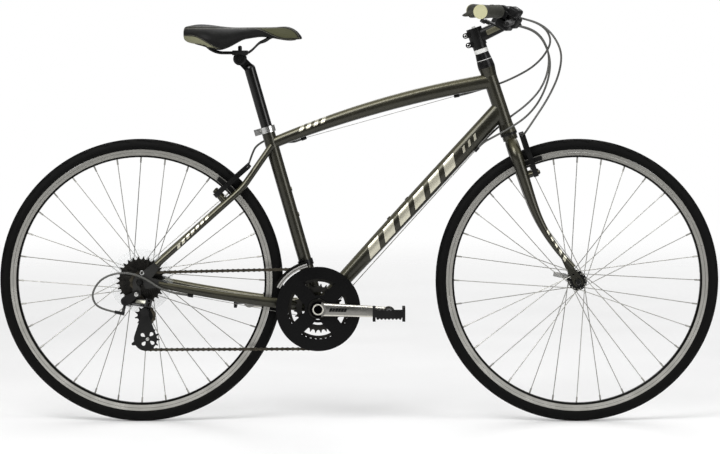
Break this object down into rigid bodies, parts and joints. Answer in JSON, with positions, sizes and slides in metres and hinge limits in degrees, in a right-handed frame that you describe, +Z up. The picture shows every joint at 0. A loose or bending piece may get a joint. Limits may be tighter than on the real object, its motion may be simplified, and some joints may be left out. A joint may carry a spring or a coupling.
{
  "type": "hybrid bike",
  "caption": "Flat-bar hybrid bicycle with diamond frame, spoked wheels, rim brakes, triple crank and derailleur gears.",
  "frame": {"origin": "on the ground, midway between the axles, in the bike's middle plane", "axes": "+X forward, +Y to the rider's left, +Z up"},
  "size_m": [1.742, 0.6114, 1.011],
  "materials": {
    "frame_paint": "metallic olive grey",
    "black_metal": "satin black",
    "silver": "polished",
    "steel": "bright",
    "chain_steel": "oiled",
    "tyre_rubber": "matte",
    "cable_black": "satin",
    "grip_rubber": "soft matte",
    "saddle_skin": "grained",
    "black_plastic": "matte",
    "gear_grey": "satin dark grey",
    "clear_disc": "clear"
  },
  "bodies": {
    "frame": {"head_tube": "frame_paint", "top_tube": "frame_paint", "down_tube": "frame_paint", "seat_tube": "frame_paint", "bottom_bracket_shell": "frame_paint", "chainstays": "frame_paint", "seatstays": "frame_paint", "dropouts": "frame_paint", "bearing_cups": "black_metal", "seat_clamp": "silver", "rear_axle": "black_metal", "front_derailleur_mount": "black_metal", "frame_cables": "cable_black", "chain": "chain_steel"},
    "seat_post": {"seat_post": "black_metal"},
    "saddle": {"saddle_cover": "saddle_skin", "saddle_frame": "black_plastic"},
    "steering": {"fork_crown": "frame_paint", "fork_blades": "frame_paint", "headset_cover": "black_metal", "stem": "black_metal", "handlebar": "black_metal", "grips": "grip_rubber", "control_brackets": "black_plastic", "front_axle": "black_metal", "front_brake_cable": "cable_black", "steering_cables": "cable_black"},
    "front_wheel": {"front_tyre": "tyre_rubber", "front_rim": "silver", "front_spokes": "steel", "front_hub": "black_metal"},
    "rear_wheel": {"rear_tyre": "tyre_rubber", "rear_rim": "silver", "rear_spokes": "steel", "rear_hub": "black_metal", "spoke_protector": "clear_disc"},
    "cassette": {"cassette": "steel"},
    "crankset": {"crank_arms": "silver", "chainrings": "chain_steel", "chain_guard": "black_plastic"},
    "pedal_right": {"pedal_right": "black_plastic"},
    "pedal_left": {"pedal_left": "black_plastic"},
    "brake_lever_right": {"brake_lever_right": "black_metal"},
    "brake_lever_left": {"brake_lever_left": "black_metal"},
    "shift_lever_right": {"shift_lever_right": "black_plastic"},
    "shift_lever_left": {"shift_lever_left": "black_plastic"},
    "front_brake_arm_right": {"front_brake_arm_right": "black_metal"},
    "front_brake_arm_left": {"front_brake_arm_left": "black_metal"},
    "rear_brake_arm_right": {"rear_brake_arm_right": "black_metal"},
    "rear_brake_arm_left": {"rear_brake_arm_left": "black_metal"},
    "derailleur_bracket": {"derailleur_bracket": "gear_grey"},
    "derailleur_outer_link": {"derailleur_outer_link": "gear_grey"},
    "derailleur_inner_link": {"derailleur_inner_link": "gear_grey"},
    "derailleur_knuckle": {"derailleur_knuckle": "gear_grey"},
    "derailleur_cage": {"derailleur_cage": "gear_grey"},
    "guide_pulley": {"guide_pulley": "black_plastic"},
    "tension_pulley": {"tension_pulley": "black_plastic"},
    "front_derailleur_cage": {"front_derailleur_cage": "steel"},
    "front_release_lever": {"front_release_lever": "silver"},
    "rear_release_lever": {"rear_release_lever": "silver"}
  },
  "joints": [
    {"name": "seat_post_slide", "type": "slide", "parent": "frame", "child": "seat_post", "axis": [-0.2756, 0, 0.9613], "range_m": [-0.09, 0.045]},
    {"name": "saddle_tilt", "type": "hinge", "parent": "seat_post", "child": "saddle", "pos_m": [-0.28828, 0, 0.87976], "axis": [0, 1, 0], "range_deg": [-10, 10]},
    {"name": "steering_turn", "type": "hinge", "parent": "frame", "child": "steering", "pos_m": [0.36081, 0, 0.70084], "axis": [-0.3173, 0, 0.9483], "range_deg": [-75, 75], "deforming": ["steering_cables"]},
    {"name": "front_wheel_spin", "type": "hinge", "parent": "steering", "child": "front_wheel", "pos_m": [0.528, 0, 0.343], "axis": [0, 1, 0], "continuous": true},
    {"name": "rear_wheel_spin", "type": "hinge", "parent": "frame", "child": "rear_wheel", "pos_m": [-0.528, 0, 0.343], "axis": [0, 1, 0], "continuous": true},
    {"name": "crank_spin", "type": "hinge", "parent": "frame", "child": "crankset", "pos_m": [-0.09889, 0, 0.278], "axis": [0, 1, 0], "continuous": true, "deforming": ["chain"]},
    {"name": "cassette_spin", "type": "hinge", "parent": "frame", "child": "cassette", "pos_m": [-0.528, 0, 0.343], "axis": [0, 1, 0], "continuous": true},
    {"name": "pedal_right_spin", "type": "hinge", "parent": "crankset", "child": "pedal_right", "pos_m": [0.071, -0.079, 0.27207], "axis": [0, 1, 0], "continuous": true},
    {"name": "pedal_left_spin", "type": "hinge", "parent": "crankset", "child": "pedal_left", "pos_m": [-0.26879, 0.079, 0.28393], "axis": [0, 1, 0], "continuous": true},
    {"name": "brake_lever_right_pull", "type": "hinge", "parent": "steering", "child": "brake_lever_right", "pos_m": [0.35887, -0.16936, 0.97868], "axis": [-0.4947, 0.1899, -0.848], "range_deg": [0, 15], "stiffness_Nm_per_rad": 6, "springref_deg": -5.73, "deforming": ["frame_cables"]},
    {"name": "brake_lever_left_pull", "type": "hinge", "parent": "steering", "child": "brake_lever_left", "pos_m": [0.35887, 0.16936, 0.97868], "axis": [0.4947, 0.1899, 0.848], "range_deg": [0, 15], "stiffness_Nm_per_rad": 6, "springref_deg": -5.73, "deforming": ["front_brake_cable"]},
    {"name": "shift_lever_right_push", "type": "hinge", "parent": "steering", "child": "shift_lever_right", "pos_m": [0.33842, -0.13687, 0.95779], "axis": [0.4947, -0.1899, 0.848], "range_deg": [0, 20], "stiffness_Nm_per_rad": 1, "springref_deg": -2.86},
    {"name": "shift_lever_left_push", "type": "hinge", "parent": "steering", "child": "shift_lever_left", "pos_m": [0.33842, 0.13687, 0.95779], "axis": [-0.4947, -0.1899, -0.848], "range_deg": [0, 20], "stiffness_Nm_per_rad": 1, "springref_deg": -2.86},
    {"name": "front_brake_arm_right_swing", "type": "hinge", "parent": "steering", "child": "front_brake_arm_right", "pos_m": [0.39621, -0.039, 0.59505], "axis": [-0.9483, 0, -0.3173], "range_deg": [0, 3]},
    {"name": "front_brake_arm_left_swing", "type": "hinge", "parent": "steering", "child": "front_brake_arm_left", "pos_m": [0.39621, 0.039, 0.59505], "axis": [0.9483, 0, 0.3173], "range_deg": [0, 3]},
    {"name": "rear_brake_arm_right_swing", "type": "hinge", "parent": "frame", "child": "rear_brake_arm_right", "pos_m": [-0.32245, -0.039, 0.53207], "axis": [-0.6641, 0, 0.7476], "range_deg": [0, 3]},
    {"name": "rear_brake_arm_left_swing", "type": "hinge", "parent": "frame", "child": "rear_brake_arm_left", "pos_m": [-0.32245, 0.039, 0.53207], "axis": [0.6641, 0, -0.7476], "range_deg": [0, 3]},
    {"name": "derailleur_bracket_swing", "type": "hinge", "parent": "frame", "child": "derailleur_bracket", "pos_m": [-0.536, -0.0735, 0.315], "axis": [0, 1, 0], "range_deg": [0, 20], "stiffness_Nm_per_rad": 10, "springref_deg": -11.46},
    {"name": "derailleur_outer_link_swing", "type": "hinge", "parent": "derailleur_bracket", "child": "derailleur_outer_link", "pos_m": [-0.55153, -0.07119, 0.29813], "axis": [0.1981, 0.3029, 0.9322], "range_deg": [0, 40], "stiffness_Nm_per_rad": 2, "springref_deg": -11.46},
    {"name": "derailleur_inner_link_swing", "type": "hinge", "parent": "derailleur_bracket", "child": "derailleur_inner_link", "pos_m": [-0.55235, -0.0588, 0.29428], "axis": [0.1981, 0.3029, 0.9322], "range_deg": [0, 40]},
    {"name": "derailleur_knuckle_swing", "type": "hinge", "parent": "derailleur_outer_link", "child": "derailleur_knuckle", "pos_m": [-0.51223, -0.08553, 0.29443], "axis": [0.1981, 0.3029, 0.9322], "range_deg": [-40, 0]},
    {"name": "derailleur_cage_swing", "type": "hinge", "parent": "derailleur_knuckle", "child": "derailleur_cage", "pos_m": [-0.517, -0.086, 0.272], "axis": [0, 1, 0], "range_deg": [-35, 15], "stiffness_Nm_per_rad": 1.5},
    {"name": "guide_pulley_spin", "type": "hinge", "parent": "derailleur_cage", "child": "guide_pulley", "pos_m": [-0.51643, -0.0585, 0.26101], "axis": [0, 1, 0], "continuous": true},
    {"name": "tension_pulley_spin", "type": "hinge", "parent": "derailleur_cage", "child": "tension_pulley", "pos_m": [-0.51063, -0.0585, 0.20532], "axis": [0, 1, 0], "continuous": true},
    {"name": "front_derailleur_shift", "type": "slide", "parent": "frame", "child": "front_derailleur_cage", "axis": [0, 1, 0], "range_m": [0, 0.014], "stiffness_N_per_m": 800, "springref_m": -0.003},
    {"name": "front_release_swing", "type": "hinge", "parent": "steering", "child": "front_release_lever", "pos_m": [0.528, 0.0695, 0.343], "axis": [-0.1736, 0, -0.9848], "range_deg": [0, 160]},
    {"name": "rear_release_swing", "type": "hinge", "parent": "frame", "child": "rear_release_lever", "pos_m": [-0.528, 0.088, 0.343], "axis": [-0.788, 0, -0.6157], "range_deg": [0, 160]}
  ],
  "couplings": [
    {"joint": "cassette_spin", "follows": "crank_spin", "ratio": 4.3636},
    {"joint": "guide_pulley_spin", "follows": "crank_spin", "ratio": -4.3636},
    {"joint": "tension_pulley_spin", "follows": "crank_spin", "ratio": 3.6923},
    {"joint": "front_brake_arm_right_swing", "follows": "brake_lever_left_pull", "ratio": 0.2},
    {"joint": "front_brake_arm_left_swing", "follows": "brake_lever_left_pull", "ratio": 0.2},
    {"joint": "rear_brake_arm_right_swing", "follows": "brake_lever_right_pull", "ratio": 0.2},
    {"joint": "rear_brake_arm_left_swing", "follows": "brake_lever_right_pull", "ratio": 0.2},
    {"joint": "derailleur_inner_link_swing", "follows": "derailleur_outer_link_swing", "ratio": 1},
    {"joint": "derailleur_knuckle_swing", "follows": "derailleur_outer_link_swing", "ratio": -1}
  ]
}
